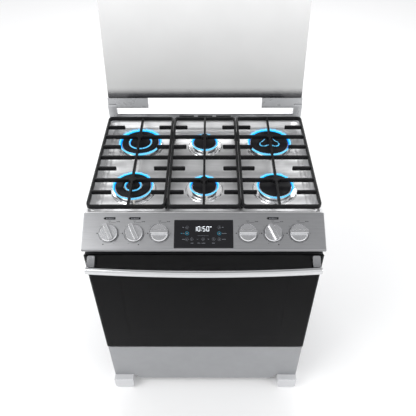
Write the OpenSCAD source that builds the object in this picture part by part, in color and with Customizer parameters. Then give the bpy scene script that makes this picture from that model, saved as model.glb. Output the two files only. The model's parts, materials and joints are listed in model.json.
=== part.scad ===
// Freestanding gas range with six burners, a glass lid and a glass-fronted oven.
// Millimetres. +Z is up, +X is to the user's right, the user stands on the -Y side.
// The origin is on the floor, under the middle of the whole range with its lid open.
// Inside the file, y = 0 is the top edge of the control panel; y_shift moves it to the origin.

/* [Body] */
// Width over the two side panels
body_w = 758; // [752:2:760]
// Depth of the body behind the top edge of the control panel
body_d = 566; // [564:1:572]
// Height of the underside of the body above the floor
floor_gap = 69; // [64:1:72]
// Thickness of the folded steel sheet
sheet_t = 1.2; // [0.8:0.1:1.4]

/* [Cooktop] */
// Height of the cooktop rim above the floor
rim_z = 918; // [914:1:919]
// Depth of the cooktop floor below its rim
recess = 28; // [26:1:30]
// Distance of the side burners from the middle
burner_x = 242.5; // [240:0.5:245]
// Distance of the front burners behind the control panel edge
burner_front_y = 146; // [143:1:149]
// Distance of the rear burners behind the control panel edge
burner_rear_y = 396; // [393:1:399]

/* [Grates] */
// Height of the top of the grates above the floor
grate_z = 940; // [938:1:944]
// Width of a grate bar
bar_w = 8; // [6:0.5:9]
// Height of a grate bar
bar_h = 15; // [12:0.5:15]

/* [Control panel] */
// Width of the control panel
panel_w = 764; // [762:1:770]
// Height of the top edge of the control panel
panel_z = 920.5; // [920:0.5:924]
// Slope of the control panel from the horizontal
panel_slope = 28.5; // [27:0.5:30]
// Length of the control panel down its slope
panel_len = 119.5; // [117:0.5:121]
// Distance from the middle to the innermost knobs
knob_x = 139; // [137:1:142]
// Distance from one knob to the next
knob_pitch = 79.5; // [76:0.5:81]
// Distance of the knobs down the slope
knob_s = 67; // [65:1:70]
// Diameter of a knob
knob_d = 57; // [52:1:60]
// Travel of a knob when it is pushed in
knob_push = 3; // [2:0.5:3]

/* [Oven] */
// Width of the oven cavity
oven_w = 580; // [574:2:584]
// Depth of the oven cavity behind the front frame
oven_d = 496; // [480:2:496]
// Height of the lower rack
rack_low_z = 430; // [425:1:435]
// Height of one step of the rack rails
rail_step = 57.5; // [55:0.5:58]

/* [Door] */
// Width of the door
door_w = 760; // [756:2:762]
// Height of the bottom edge of the door
door_z1 = 296; // [295:1:298]
// Height of the top edge of the door
door_z2 = 834; // [830:1:838]
// Distance of the door's glass face in front of the control panel's top edge
door_front = 102; // [101:0.5:103]
// Bow of the handle, from its ends to its middle
handle_bow = 14; // [8:1:20]

/* [Lid] */
// Width of the lid glass
lid_w = 751; // [741:2:755]
// Length of the lid glass from hinge edge to front edge
lid_len = 530; // [520:1:535]
// Thickness of the lid glass
lid_t = 5; // [4:0.5:5]
// Angle by which the open lid leans back
lid_lean = 11; // [9:0.5:13]

/* [Hidden] */
$fn = 64;

// Colours
steel_c = "#b9bbbd";
paint_c = "#a9abae";
plastic_c = "#d2d3d5";
black_c = "#232325";
iron_c = "#2e2f31";
alloy_c = "#c6c8ca";
enamel_c = "#3a3d44";

// Gaps: touching parts of different bodies, and a shaft in its bore
gap = 0.3;
shaft_gap = 0.05;

// Body planes
half_w = body_w / 2;
inner_x = half_w - sheet_t;
fold = 14;
top_fold = 6;
frame_y = -58;
frame_back = frame_y + sheet_t;
side_top = rim_z - 14;
lower_front = door_front - 5;
lower_top = door_z1 - 12;

// Control panel: a point at (x, s, h) lies s down the slope and h out from the face
hood_z = panel_z - panel_len * sin(panel_slope) - 11.5;
nose_r = 6.5;
nose_s = (panel_z - hood_z - nose_r * (1 + cos(panel_slope))) / sin(panel_slope);
hood_back = 2;
nose = [nose_r * sin(panel_slope) - nose_s * cos(panel_slope), hood_z + nose_r];
glass_w = 186;
glass_s1 = 24;
glass_s2 = 115.5;
knob_place = [-knob_x - 2 * knob_pitch, -knob_x - knob_pitch, -knob_x,
    knob_x, knob_x + knob_pitch, knob_x + 2 * knob_pitch];
// Resting turn of each knob from OFF, anticlockwise: 90 is the high flame, 205 the low one
knob_turn = [205, 205, 90, 90, 205, 90];
knob_gap = knob_push + 0.5;
knob_base_h = 7;
knob_top_h = 25;
stem_r = 4;
stem_top = 14;
stem_flat = 2.8;
valve_h = [-44, -10];
pipe_r = 8;
pipe_h = valve_h[0] - pipe_r;
pipe_y = -knob_s * cos(panel_slope) - pipe_h * sin(panel_slope);
pipe_z = panel_z - knob_s * sin(panel_slope) + pipe_h * cos(panel_slope);
pipe_x = 350;
inlet_r = 10.65;
inlet_len = 18;
gland_at = [-300, 840];

// Cooktop and burners
floor_z = rim_z - recess;
top_front = 4;
pan_x = [360, 371];
pan_front = [20, 10];
pan_rear = [506, 540];
hole_r = 22;
cup_r = 20;
boss_r = 7;
boss_reach = cup_r + 8;
bend_gap = 8;
head_z = floor_z + 0.2;
crown_z = head_z + 4;
cap_z = floor_z + 16.3;
cap_h = 7;
lip_h = 3;
tube_r = 4;
tube_z = floor_z - 24;
// Each burner: x, y, cap radius, inner radius of a ring cap, radius of its centre cap
fl = [-burner_x, burner_front_y, 60, 33, 22.5];
fc = [0, burner_front_y, 41, 0, 0];
fr = [burner_x, burner_front_y, 54, 0, 0];
rl = [-burner_x, burner_rear_y, 68, 46, 36.5];
rc = [0, burner_rear_y, 41, 0, 0];
rr = [burner_x, burner_rear_y, 70, 48, 30];
burners = [fl, fc, fr, rl, rc, rr];
// Knob that feeds each burner, in the order of the list above
burner_knob = [1, 3, 4, 0, 2, 5];

// Grates
grate_y = [12, 525];
grate_split = 120.5;
grate_out = 376;
cross_y = [147, 272, 397];
finger_y = [85.6, 210, 335, 460];

// Oven
oven_x = oven_w / 2;
oven_y2 = frame_back + oven_d;
oven_top = 782;
oven_low = 297.2;
mouth_z1 = 344;
plate_z = 341;
rack_y = [-22, 420];
rail_y = [0, 425];
rail_x = oven_x - 7.5;
rail_r = 3;
rod_r = 4;
wire_r = 2;
wire_count = 16;
rack_up_z = rack_low_z + 2 * rail_step;
lamp_at = [-190, 716];

// Door, with its hinge axis inside its lower edge
shell_y = [-door_front + 4, -64];
hinge_y = -door_front + 14;
hinge_z = door_z1 + 8;
pin_r = 4;
window_x = 285;
window_z = [367, 785];
arm_x = [347, 355];
slot_x = [345, 357];
ear_t = 3;
handle_z = door_z2 - 30;
handle_x = 372;
handle_mid = -door_front - 52;
handle_r = 10;
handle_flat = 3;
bow_r = (handle_x * handle_x + handle_bow * handle_bow) / (2 * handle_bow);

// Lid, with its hinge axis in the two posts
lid_hinge = [557, rim_z + 51];
barrel_r = 9;
lid_u = 34;
lid_w1 = -8;
post_x = [348, 380];
clamp_x = [222, 378];

// The origin lies halfway between the handle's front and the open lid's rear edge
lid_back = lid_hinge[0] + (lid_u + lid_len) * sin(lid_lean) + (lid_w1 + lid_t) * cos(lid_lean);
y_shift = -(handle_mid - handle_r + lid_back) / 2;

// ---- Helpers ----

module in_place() {
    translate([0, y_shift, 0]) children();
}

module both_sides() {
    children();
    mirror([1, 0, 0]) children();
}

// Box between two corners
module box(lo, hi) {
    translate(lo) cube(hi - lo);
}

module rod_x(x, y, z, r) {
    translate([x[0], y, z]) rotate([0, 90, 0]) cylinder(h = x[1] - x[0], r = r);
}

module rod_y(x, y, z, r) {
    translate([x, y[1], z]) rotate([90, 0, 0]) cylinder(h = y[1] - y[0], r = r);
}

module rod_z(x, y, z, r) {
    translate([x, y, z[0]]) cylinder(h = z[1] - z[0], r = r);
}

// Points along an arc from angle a1 to angle a2
function arc(mid, r, a1, a2, steps) =
    [for (i = [0:steps]) let(a = a1 + (a2 - a1) * i / steps) mid + r * [cos(a), sin(a)]];

// Rectangle between two corners with round corners of radius r
module round_rect(lo, hi, r) {
    translate([lo.x + r, lo.y]) square([hi.x - lo.x - 2 * r, hi.y - lo.y]);
    translate([lo.x, lo.y + r]) square([hi.x - lo.x, hi.y - lo.y - 2 * r]);
    for (x = [lo.x + r, hi.x - r], y = [lo.y + r, hi.y - r])
        translate([x, y]) circle(r);
}

// Outline in (y, z), drawn along x
module along_x(x) {
    translate([x[0], 0, 0]) rotate([90, 0, 90]) linear_extrude(x[1] - x[0]) children();
}

// Outline in (x, z), drawn along y
module along_y(y) {
    translate([0, y[1], 0]) rotate([90, 0, 0]) linear_extrude(y[1] - y[0]) children();
}

// Frame on the face of the control panel
module on_panel(x, s) {
    translate([x, 0, panel_z]) rotate([panel_slope, 0, 0]) translate([0, -s, 0]) children();
}

// Frame of the lid: z runs from the hinge to the lid's front edge
module on_lid() {
    translate([0, lid_hinge[0], lid_hinge[1]]) rotate([-lid_lean, 0, 0]) children();
}

// ---- Body shell ----

module side_panel() {
    z1 = floor_gap + sheet_t;
    neck_y = hood_back + 1;
    neck_z = hood_z - 1;
    along_x([inner_x, half_w])
        polygon([[frame_back, z1], [body_d, z1], [body_d, side_top], [neck_y, side_top],
            [neck_y, neck_z], [frame_back, neck_z]]);
    box([half_w - fold, frame_back, z1], [half_w, frame_back + sheet_t, neck_z]);
    box([half_w - fold, body_d - sheet_t, z1], [half_w, body_d, side_top]);
    box([half_w - top_fold, neck_y, side_top - sheet_t], [half_w, body_d, side_top]);
    // Pressed stiffening field on the inside face
    along_x([inner_x - 3, inner_x])
        difference() {
            round_rect([60, 170], [470, 780], 30);
            round_rect([72, 182], [458, 768], 22);
        }
}

module side_panel_left() {
    color(paint_c) in_place() mirror([1, 0, 0]) side_panel();
}

module side_panel_right() {
    color(paint_c) in_place() side_panel();
}

module rear_panel() {
    color(paint_c) in_place()
        difference() {
            box([-half_w + 3, body_d, floor_gap + 6], [half_w - 3, body_d + sheet_t, side_top]);
            for (side = [-1, 1], i = [0:5])
                box([side * 150 - 70, body_d - 1, 640 + i * 26],
                    [side * 150 + 70, body_d + 2, 648 + i * 26]);
            rod_y(pipe_x, [body_d - 1, body_d + 3], pipe_z, pipe_r + 1);
            rod_y(gland_at.x, [body_d - 1, body_d + 3], gland_at.y, 10);
        }
}

module base_pan() {
    color(paint_c) in_place() {
        x = inner_x - 0.3;
        front = -lower_front + sheet_t + 0.3;
        back = body_d - sheet_t - 0.3;
        box([-x, front, floor_gap], [x, back, floor_gap + sheet_t]);
        box([-x, front, floor_gap], [x, front + sheet_t, floor_gap + 22]);
        box([-x, back - sheet_t, floor_gap], [x, back, floor_gap + 22]);
    }
}

module front_frame() {
    color(black_c) in_place()
        along_y([frame_y, frame_back])
            difference() {
                translate([-half_w, lower_top + 2])
                    square([body_w, hood_z - 2 - lower_top - 2]);
                translate([-oven_x, mouth_z1]) square([oven_w, oven_top - mouth_z1]);
            }
}

module lower_front_panel() {
    color(paint_c) in_place() {
        apron_z = 40;
        apron_x = 277;
        along_y([-lower_front, -lower_front + sheet_t])
            polygon([[-half_w, lower_top], [-half_w, floor_gap], [-apron_x - 25, floor_gap],
                [-apron_x, apron_z], [apron_x, apron_z], [apron_x + 25, floor_gap],
                [half_w, floor_gap], [half_w, lower_top]]);
        box([-half_w, -lower_front, lower_top - sheet_t], [half_w, frame_y - gap, lower_top]);
        both_sides()
            box([inner_x, -lower_front, floor_gap], [half_w, frame_y - gap, lower_top]);
        box([-apron_x, -lower_front, apron_z], [apron_x, -lower_front + 16, apron_z + sheet_t]);
    }
}

// Moulded foot with bevelled lower edges
module foot(y1, y2) {
    x1 = 303;
    x2 = 381;
    bevel = 11;
    intersection() {
        along_y([y1, y2])
            polygon([[x1 + bevel, 0], [x2 - bevel, 0], [x2, bevel * 1.6],
                [x2, floor_gap], [x1, floor_gap], [x1, bevel * 1.6]]);
        along_x([x1, x2])
            polygon([[y1 + 6, 0], [y2 - 6, 0], [y2, 8], [y2, floor_gap], [y1, floor_gap], [y1, 8]]);
    }
}

module foot_front_right() {
    color(plastic_c) in_place() foot(-lower_front - 25, -lower_front + 65);
}

module foot_front_left() {
    color(plastic_c) in_place() mirror([1, 0, 0]) foot(-lower_front - 25, -lower_front + 65);
}

module feet_rear() {
    color(plastic_c) in_place() both_sides() foot(body_d - 92, body_d - 2);
}

// ---- Cooktop and burners ----

// The recess of the cooktop, grown outwards for the underside of its sheet
module pan_form(grow) {
    z = floor_z - grow;
    top = grow > 0 ? rim_z : rim_z + 1;
    intersection() {
        along_y([-20, body_d + 20])
            polygon([[-pan_x[0] - grow, z], [pan_x[0] + grow, z], [pan_x[1] + grow, rim_z],
                [pan_x[1] + grow, top], [-pan_x[1] - grow, top], [-pan_x[1] - grow, rim_z]]);
        along_x([-half_w, half_w])
            polygon([[pan_front[0] - grow, z], [pan_rear[0] + grow, z],
                [pan_rear[1] + grow, rim_z], [pan_rear[1] + grow, top],
                [pan_front[1] - grow, top], [pan_front[1] - grow, rim_z]]);
    }
}

// Radius of the raised ring round a burner, outside its spark pin
function drip_r(b) = b[2] + (b[3] > 0 ? 14 : 20);

module cooktop() {
    color(steel_c) in_place() {
        difference() {
            union() {
                difference() {
                    box([-half_w, top_front, side_top + gap], [half_w, body_d, rim_z]);
                    box([-inner_x, top_front + sheet_t, side_top],
                        [inner_x, body_d - sheet_t, rim_z - sheet_t]);
                }
                pan_form(sheet_t);
            }
            pan_form(0);
            for (b = burners) rod_z(b.x, b.y, [floor_z - 5, floor_z + 5], hole_r);
        }
        for (b = burners)
            translate([b.x, b.y, floor_z - 0.2])
                rotate_extrude()
                    translate([drip_r(b), 0]) polygon([[-3, 0], [-1, 1.7], [1, 1.7], [3, 0]]);
    }
}

module rear_trim() {
    x = post_x[0] - 1.5;
    y1 = 545;
    top = rim_z + 22;
    color(steel_c) in_place()
        difference() {
            box([-x, y1, rim_z], [x, body_d, top]);
            box([-x + sheet_t, y1 + sheet_t, rim_z - 1], [x - sheet_t, body_d - sheet_t, top - sheet_t]);
            for (i = [-1, 0, 1])
                box([i * 73 - 29, y1 - 1, rim_z + 6], [i * 73 + 29, y1 + 2, rim_z + 13]);
        }
}

// Three round lobes about a middle disc
module trefoil(lobe_r, mid_r) {
    reach = 25;
    circle(mid_r);
    for (a = [90, 210, 330]) rotate(a) translate([reach, 0]) circle(lobe_r);
}

// Feed boss on the front of the mixing cup
module feed_boss(b) {
    rod_y(b.x, [b.y - boss_reach, b.y], tube_z, boss_r);
}

module burner_head(b) {
    ring = b[3] > 0;
    union() {
        rod_z(b.x, b.y, [tube_z - 10, head_z + 1], cup_r);
        feed_boss(b);
        rod_z(b.x, b.y, [head_z, crown_z], b[2] - 3);
        difference() {
            rod_z(b.x, b.y, [head_z, cap_z - gap], b[2] + 2);
            if (ring) rod_z(b.x, b.y, [crown_z, cap_z + 1], b[3] - 2);
            rod_z(b.x, b.y, [head_z - 1, head_z + 2], b[2] - 3);
            difference() {
                rod_z(b.x, b.y, [crown_z, cap_z + 1], b[2] - 4);
                if (ring) rod_z(b.x, b.y, [crown_z - 1, cap_z + 2], b[3] + 4);
            }
        }
        if (ring)
            difference() {
                rod_z(b.x, b.y, [crown_z - 1, cap_z - gap], b[4] + 2);
                rod_z(b.x, b.y, [crown_z, cap_z + 1], b[4] - 4);
            }
    }
}

module burner_heads() {
    color(alloy_c) in_place()
        for (b = burners) burner_head(b);
}

// Round cap with a bevelled edge and a locating lip below
module disc_cap(r) {
    rotate_extrude()
        polygon([[0, 0], [r - 9, 0], [r - 9, -lip_h], [r - 6, -lip_h], [r - 6, 0], [r, 0],
            [r, 3], [r - 1, 5], [r - 4, cap_h - 0.8], [r - 10, cap_h], [0, cap_h]]);
}

// Ring cap with bevelled edges and a locating lip below
module ring_cap(r, inner) {
    mid = (r + inner) / 2;
    rotate_extrude()
        polygon([[inner, 0], [mid - 2, 0], [mid - 2, -lip_h], [mid + 2, -lip_h], [mid + 2, 0], [r, 0],
            [r, 3], [r - 1, 5], [r - 4, cap_h - 0.8], [r - 8, cap_h],
            [inner + 5, cap_h], [inner + 1, cap_h - 1], [inner, cap_h - 3]]);
}

module burner_cap(b) {
    color(black_c) in_place()
        translate([b.x, b.y, cap_z]) {
            if (b[3] > 0) {
                ring_cap(b[2], b[3]);
                disc_cap(b[4]);
            } else {
                disc_cap(b[2]);
            }
        }
}

// Large rear burner: the ring closes in on a three-lobed opening and a three-lobed centre cap
module trefoil_cap(b) {
    color(black_c) in_place()
        translate([b.x, b.y, cap_z]) {
            ring_cap(b[2], b[3]);
            translate([0, 0, 1])
                linear_extrude(cap_h - 2)
                    difference() {
                        circle(b[3] + 1);
                        trefoil(19, 26);
                    }
            linear_extrude(cap_h - 1) trefoil(12, 18);
            disc_cap(24);
        }
}

module burner_cap_front_left() { burner_cap(fl); }
module burner_cap_front_centre() { burner_cap(fc); }
module burner_cap_front_right() { burner_cap(fr); }
module burner_cap_rear_left() { burner_cap(rl); }
module burner_cap_rear_centre() { burner_cap(rc); }
module burner_cap_rear_right() { trefoil_cap(rr); }

// Ceramic spark pin with a metal tip, at the front of each burner
module igniters() {
    color("#e8e4da") in_place()
        for (b = burners)
            translate([b.x + 9, b.y - b[2] - 7, 0]) {
                translate([0, 0, floor_z]) cylinder(h = 11, r = 3);
                translate([0, 0, floor_z + 11]) cylinder(h = 4, r = 1);
            }
}

// ---- Grates ----

// One cast grate from x1 to x2: frame, cross bars, a spine, and fingers that end at f1 and f2
module grate(x1, x2, spine, f1, f2) {
    half = bar_w / 2;
    corner = 16;
    color(iron_c) in_place() {
        translate([0, 0, grate_z - bar_h])
            linear_extrude(bar_h) {
                difference() {
                    round_rect([x1, grate_y[0]], [x2, grate_y[1]], corner);
                    round_rect([x1 + bar_w, grate_y[0] + bar_w], [x2 - bar_w, grate_y[1] - bar_w],
                        corner - bar_w);
                }
                for (y = cross_y) translate([x1 + 1, y - half]) square([x2 - x1 - 2, bar_w]);
                for (y = finger_y) {
                    translate([x1 + 1, y - half]) square([f1 - x1 - 1, bar_w]);
                    translate([f2, y - half]) square([x2 - f2 - 1, bar_w]);
                }
                translate([spine - half, grate_y[0] + 1])
                    square([bar_w, grate_y[1] - grate_y[0] - 2]);
                for (y = [cross_y[0], cross_y[2]])
                    translate([spine, y]) rotate(45) square(22, center = true);
            }
        for (x = [x1, x2], y = [60, 440]) {
            outer = abs(x) > grate_split + 5;
            foot_z = outer ? rim_z + gap : floor_z + gap;
            lo = x < (x1 + x2) / 2 ? x + (outer ? 0 : 0.5) : x - (outer ? 4.5 : bar_w);
            box([lo, y - 9, foot_z], [lo + (outer ? 4.5 : bar_w - 0.5), y + 9, grate_z - bar_h + 1]);
        }
    }
}

module grate_left() {
    grate(-grate_out, -grate_split - 1, -burner_x, -305, -175);
}

module grate_centre() {
    grate(-grate_split + 1, grate_split - 1, 0, -66, 66);
}

module grate_right() {
    grate(grate_split + 1, grate_out, burner_x, 175, 305);
}

// ---- Control panel, valves and knobs ----

// Cross-section of the hood in (y, z), inset by t; the inset one runs out past its open sides
module hood_outline(t) {
    low = t > 0 ? hood_z - 5 : hood_z;
    polygon(concat([[hood_back - t, low], [hood_back - t, panel_z - t],
        [t * sin(panel_slope), panel_z - t * cos(panel_slope)]],
        arc(nose, nose_r - t, 90 + panel_slope, 270, 8),
        t > 0 ? [[frame_y, hood_z + t], [frame_y, low]] : []));
}

module control_panel() {
    x = panel_w / 2;
    color(steel_c) in_place()
        difference() {
            along_x([-x, x]) hood_outline(0);
            along_x([-x + sheet_t, x - sheet_t]) hood_outline(sheet_t);
            for (k = knob_place) {
                on_panel(k, knob_s) translate([0, 0, -9]) cylinder(h = 18, r = 7);
                rod_y(k, [hood_back - 4, hood_back + 1], tube_z, tube_r + 1);
            }
        }
}

module control_glass() {
    color(black_c) in_place()
        on_panel(0, 0)
            linear_extrude(1) round_rect([-glass_w / 2, -glass_s2], [glass_w / 2, -glass_s1], 2.5);
}

module control_board() {
    color("#3d6b4f") in_place()
        on_panel(0, 0) {
            translate([-glass_w / 2 + 6, -104, -7]) cube([glass_w - 12, 72, 1.6]);
            for (x = [-60, -20, 25, 62]) translate([x - 9, -80, -19]) cube([18, 30, 12]);
        }
}

module gas_valves() {
    color("#b79a55") in_place()
        for (k = knob_place)
            on_panel(k, knob_s)
                difference() {
                    union() {
                        translate([-12, -13, valve_h[0] + 0.1]) cube([24, 26, 22]);
                        translate([0, 0, valve_h[0] + 22])
                            cylinder(h = valve_h[1] - valve_h[0] - 22, r = 11);
                    }
                    translate([0, 0, valve_h[1] - 20]) cylinder(h = 21, r = stem_r + shaft_gap);
                }
}

module gas_manifold() {
    back = body_d + sheet_t;
    color("#8d8f93") in_place() {
        rod_x([-330, pipe_x], pipe_y, pipe_z, pipe_r);
        translate([pipe_x, pipe_y, pipe_z]) sphere(pipe_r);
        rod_y(pipe_x, [pipe_y, back + 1], pipe_z, pipe_r);
        rod_y(pipe_x, [back, back + inlet_len], pipe_z, inlet_r);
    }
}

// Feed tube: back from its valve, across, and into the front of its burner's mixing cup
module feed_tube(b, x) {
    turn_y = b.y - boss_reach - bend_gap;
    rod_y(x, [-6, turn_y], tube_z, tube_r);
    rod_x([min(x, b.x), max(x, b.x)], turn_y, tube_z, tube_r);
    rod_y(b.x, [turn_y, b.y - boss_reach], tube_z, tube_r);
    for (bend = [x, b.x]) translate([bend, turn_y, tube_z]) sphere(tube_r);
}

module burner_tubes() {
    color(alloy_c) in_place()
        for (i = [0:5]) feed_tube(burners[i], knob_place[burner_knob[i]]);
}

module spindle(i) {
    color(alloy_c) in_place()
        on_panel(knob_place[i], knob_s)
            rotate(knob_turn[i])
                difference() {
                    translate([0, 0, valve_h[1] - 19.5])
                        cylinder(h = stem_top - valve_h[1] + 19.5, r = stem_r);
                    translate([stem_flat, -stem_r, 0]) cube([stem_r, 2 * stem_r, stem_top + 1]);
                }
}

module knob(i) {
    bore_r = stem_r + shaft_gap;
    r = knob_d / 2;
    z = knob_gap;
    color(alloy_c) in_place()
        on_panel(knob_place[i], knob_s)
            rotate(knob_turn[i])
                difference() {
                    union() {
                        rotate_extrude()
                            polygon([[0, z], [r - 1, z], [r, z + 1], [r, z + knob_base_h - 3],
                                [r - 2.5, z + knob_base_h], [0, z + knob_base_h]]);
                        intersection() {
                            translate([0, 0, z]) cylinder(h = knob_top_h - z, r = r - 1.5);
                            along_y([-r, r])
                                polygon([[-7.5, z], [7.5, z], [6, knob_top_h - 1.5],
                                    [4.5, knob_top_h], [-4.5, knob_top_h], [-6, knob_top_h - 1.5]]);
                        }
                    }
                    difference() {
                        translate([0, 0, z - 1]) cylinder(h = stem_top + knob_push + 1.5 - z, r = bore_r);
                        translate([stem_flat + shaft_gap, -stem_r, z - 2]) cube([stem_r, 2 * stem_r, 30]);
                    }
                }
}

module spindle_1() { spindle(0); }
module spindle_2() { spindle(1); }
module spindle_3() { spindle(2); }
module spindle_4() { spindle(3); }
module spindle_5() { spindle(4); }
module spindle_6() { spindle(5); }
module knob_1() { knob(0); }
module knob_2() { knob(1); }
module knob_3() { knob(2); }
module knob_4() { knob(3); }
module knob_5() { knob(4); }
module knob_6() { knob(5); }

// ---- Oven ----

module oven_liner() {
    t = sheet_t;
    ledge = 12;
    color(enamel_c) in_place()
        difference() {
            union() {
                difference() {
                    box([-oven_x - t, frame_back, oven_low - t], [oven_x + t, oven_y2 + t, oven_top + t]);
                    box([-oven_x, frame_back - 1, oven_low], [oven_x, oven_y2, oven_top]);
                }
                along_y([frame_back, frame_back + t])
                    difference() {
                        translate([-oven_x - 14, oven_low - t])
                            square([oven_w + 28, oven_top - oven_low + 14]);
                        translate([-oven_x, oven_low]) square([oven_w, oven_top - oven_low]);
                    }
                both_sides()
                    box([oven_x - ledge, 0, plate_z - 2 * t], [oven_x + t, oven_y2, plate_z - t]);
            }
            rod_y(lamp_at.x, [oven_y2 - 1, oven_y2 + 3], lamp_at.y, 24);
        }
}

module oven_insulation() {
    wool = 38;
    side = oven_x + sheet_t + gap;
    color("#cfc9a8") in_place()
        difference() {
            box([-side - wool, frame_back + 3, oven_low - 18],
                [side + wool, oven_y2 + wool, oven_top + wool]);
            box([-side, frame_back, oven_low - 2], [side, oven_y2 + 1.5, oven_top + 1.5]);
            rod_y(lamp_at.x, [oven_y2, oven_y2 + wool + 1], lamp_at.y, 28);
        }
}

module oven_floor_plate() {
    slot_w = 9;
    color(enamel_c) in_place()
        difference() {
            box([-oven_x + 1, frame_back + 6, plate_z], [oven_x - 1, oven_y2 - 2, plate_z + sheet_t]);
            for (side = [-1, 1], i = [0:4])
                box([side * 250 - slot_w, 20 + i * 82, plate_z - 1],
                    [side * 250 + slot_w, 70 + i * 82, plate_z + 3]);
        }
}

module oven_burner() {
    x = 110;
    z = 318;
    r = 11;
    back = oven_y2 - 50;
    color(alloy_c) in_place() {
        both_sides() {
            rod_y(x, [20, back], z, r);
            translate([x, back, z]) sphere(r);
            translate([x, 20, z]) sphere(r);
        }
        rod_x([-x, x], back, z, r);
        rod_y(0, [back, oven_y2 - 1], z, r);
    }
}

module oven_lamp() {
    color("#f2ead2") in_place()
        translate([lamp_at.x, oven_y2 + 24, lamp_at.y])
            rotate([90, 0, 0])
                rotate_extrude()
                    polygon([[0, 0], [23, 0], [23, 24.3], [27, 24.3], [27, 27], [20, 32], [0, 34]]);
}

// Wire ladder beside the racks, with one rail for each of five levels
module rack_rails() {
    color(steel_c) in_place()
        both_sides() {
            for (i = [0:4])
                rod_y(rail_x, rail_y, rack_low_z + i * rail_step - rod_r - rail_r - gap, rail_r);
            for (y = [30, 395]) rod_z(rail_x + 3.5, y, [375, 700], rail_r);
        }
}

module rack(z) {
    x = oven_x - 12;
    ends = [rack_y[0] + 6, rack_y[1] - 6];
    color(steel_c) in_place()
        translate([0, 0, z]) {
            both_sides() rod_y(x, rack_y, 0, rod_r);
            for (y = ends) rod_x([-x, x], y, 0, rod_r - 0.7);
            rod_x([-x, x], 200, -2, rod_r - 1.5);
            for (i = [0:wire_count - 1])
                rod_y(-x + (i + 0.5) * 2 * x / wire_count, ends, 1, wire_r);
        }
}

module oven_rack_upper() { rack(rack_up_z); }
module oven_rack_lower() { rack(rack_low_z); }

// ---- Door ----

module door_shell() {
    t = sheet_t;
    x = door_w / 2 - 3;
    z1 = door_z1 + 1;
    z2 = door_z2 - 1;
    ear_top = z1 + 27;
    color(black_c) in_place()
        difference() {
            union() {
                difference() {
                    box([-x, shell_y[0], z1], [x, shell_y[1], z2]);
                    box([-x + t, shell_y[0] - 1, z1 + t], [x - t, shell_y[1] - t, z2 - t]);
                }
                box([-window_x - t, shell_y[0], window_z[0] - t],
                    [window_x + t, shell_y[1], window_z[1] + t]);
                both_sides() {
                    box([slot_x[0] - ear_t, shell_y[0], z1], [slot_x[0], shell_y[1], ear_top]);
                    box([slot_x[1], shell_y[0], z1], [slot_x[1] + ear_t, shell_y[1], ear_top]);
                    box([slot_x[0] - ear_t, shell_y[0], ear_top - t],
                        [slot_x[1] + ear_t, shell_y[1], ear_top]);
                }
            }
            box([-window_x, shell_y[0] - 1, window_z[0]], [window_x, shell_y[1] + 1, window_z[1]]);
            both_sides() {
                box([slot_x[0], shell_y[0] - 1, z1 - 1], [slot_x[1], shell_y[1] + 1, ear_top - t]);
                rod_x([slot_x[0] - 10, slot_x[1] + 10], hinge_y, hinge_z, pin_r + shaft_gap);
            }
        }
}

module door_outer_glass() {
    x = door_w / 2;
    color("#141416") in_place()
        along_y([-door_front, shell_y[0]]) round_rect([-x, door_z1], [x, door_z2], 3);
}

module door_inner_glass() {
    x = window_x - gap;
    color("#55585a") in_place()
        box([-x, shell_y[1] - 6, window_z[0] + gap], [x, shell_y[1] - 2, window_z[1] - gap]);
}

module door_gasket() {
    inner = oven_x + 8;
    outer = inner + 9;
    color("#4a4a4c") in_place()
        along_y([shell_y[1], frame_y - gap])
            difference() {
                round_rect([-outer, mouth_z1 - 20], [outer, oven_top + 17], 18);
                round_rect([-inner, mouth_z1 - 11], [inner, oven_top + 8], 9);
            }
}

// Bowed bar of stadium section, grown by a clearance
module handle_sweep(grow) {
    span = asin(handle_x / bow_r);
    translate([0, handle_mid + bow_r, handle_z])
        rotate([0, 0, -90 - span])
            rotate_extrude(angle = 2 * span, $fn = 720)
                translate([bow_r, 0]) {
                    for (z = [-handle_flat, handle_flat]) translate([0, z]) circle(handle_r + grow, $fn = 64);
                    square([2 * (handle_r + grow), 2 * handle_flat], center = true);
                }
}

module door_handle_bar() {
    color(steel_c) in_place() handle_sweep(0);
}

module door_handle_brackets() {
    face = -door_front;
    color("#d8dadc") in_place()
        difference() {
            both_sides()
                along_x([344, 368])
                    polygon([[face, door_z2 - 3], [face, door_z2 - 36], [face - 20, handle_z - 11],
                        [face - 38, handle_z - 9], [face - 38, handle_z + 9], [face - 24, handle_z + 13]]);
            handle_sweep(0.05);
        }
}

// Fixed hinge arms on the front frame, each with a pin through the door's ears
module door_hinges() {
    color(steel_c) in_place()
        both_sides() {
            along_x(arm_x) {
                translate([hinge_y, hinge_z]) circle(8.5);
                translate([hinge_y, hinge_z - 8.5]) square([frame_y - hinge_y, 17]);
            }
            box([slot_x[0] - 6, frame_y - 1.5, hinge_z - 12], [slot_x[1] + 6, frame_y, hinge_z + 24]);
            rod_x([slot_x[0] - ear_t, slot_x[1] + ear_t], hinge_y, hinge_z, pin_r);
        }
}

// ---- Lid ----

module lid_glass() {
    color("#cfd1d2") in_place()
        on_lid()
            translate([0, lid_w1 + lid_t, 0])
                rotate([90, 0, 0])
                    linear_extrude(lid_t)
                        round_rect([-lid_w / 2, lid_u], [lid_w / 2, lid_u + lid_len], 6);
}

// Two clamps: barrel and pin on the hinge axis, a block under the glass and a tongue behind it
module lid_clamps() {
    color(paint_c) in_place()
        on_lid()
            both_sides() {
                rod_x([clamp_x[0], post_x[0] - 0.5], 0, 0, barrel_r);
                rod_x([post_x[0] - 1, post_x[0] + 17], 0, 0, pin_r);
                box([clamp_x[0], -10, 0], [post_x[0] - 0.5, 2, lid_u - gap]);
                box([clamp_x[0], -10, barrel_r + 0.8], [clamp_x[1], 2, lid_u - gap]);
                box([clamp_x[0] + 6, lid_w1 + lid_t, lid_u - 1], [clamp_x[1] - 8, 1.5, lid_u + 24]);
            }
}

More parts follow.
